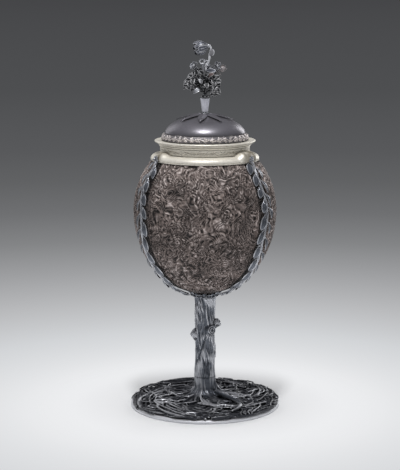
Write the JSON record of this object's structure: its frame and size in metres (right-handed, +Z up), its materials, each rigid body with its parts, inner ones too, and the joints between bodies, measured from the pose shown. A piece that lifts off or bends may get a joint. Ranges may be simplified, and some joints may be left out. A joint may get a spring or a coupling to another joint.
{
  "type": "lidded chalice",
  "caption": "Covered drinking cup: carved nut bowl in silver mounts with vine straps on a tree-trunk stem and a root foot, and a lift-off domed lid with a bouquet finial.",
  "frame": {"origin": "centre of the foot ring's flat underside", "axes": "+Z up along the cup's axis, -Y to the front, +X to the viewer's right"},
  "size_m": [0.113, 0.113, 0.2755],
  "materials": {
    "dark_silver": "cast and chased silver, oxidised dark in the hollows, worn bright on the edges",
    "polished_silver": "polished silver under a grey tarnish",
    "gilt_silver": "pale worn gilding on polished silver",
    "coconut": "carved and waxed brown nut shell"
  },
  "bodies": {
    "cup": {"foot_rim": "dark_silver", "root_mat": "dark_silver", "foot_bridge": "dark_silver", "tie_nut": "dark_silver", "tie_bolt": "dark_silver", "trunk_stem": "dark_silver", "calyx_cup": "dark_silver", "coconut_shell": "coconut", "bowl_rosette": "gilt_silver", "collar_skirt": "gilt_silver", "neck_band": "gilt_silver", "neck_bead": "gilt_silver", "neck_liner": "gilt_silver", "vine_strap_1": "dark_silver", "vine_strap_2": "dark_silver", "vine_strap_3": "dark_silver", "strap_pin_1": "dark_silver", "strap_pin_2": "dark_silver", "strap_pin_3": "dark_silver"},
    "cover": {"lid_step": "gilt_silver", "lid_bezel": "gilt_silver", "lid_flange": "gilt_silver", "lid_frieze": "polished_silver", "lid_dome": "polished_silver", "star_leaf_1": "polished_silver", "star_leaf_2": "polished_silver", "star_leaf_3": "polished_silver", "star_leaf_4": "polished_silver", "star_leaf_5": "polished_silver", "star_leaf_6": "polished_silver", "star_leaf_7": "polished_silver", "star_leaf_8": "polished_silver", "finial_nut": "dark_silver", "finial_bolt": "dark_silver", "finial_base_ring": "polished_silver", "finial_holder": "polished_silver", "holder_collar": "dark_silver", "bouquet_core": "dark_silver", "ring_flower": "polished_silver", "flower_left": "polished_silver", "flower_right": "polished_silver", "flower_back": "polished_silver", "bud_right": "gilt_silver", "spray_left": "dark_silver", "spray_right": "dark_silver", "spray_back_left": "dark_silver", "spray_back_right": "dark_silver", "leaf_left": "polished_silver", "leaf_front": "gilt_silver", "top_stem": "polished_silver", "top_flower": "polished_silver"}
  },
  "joints": [
    {"name": "lid_lift", "type": "slide", "parent": "cup", "child": "cover", "axis": [0, 0, 1], "range_m": [0, 0.05]}
  ]
}
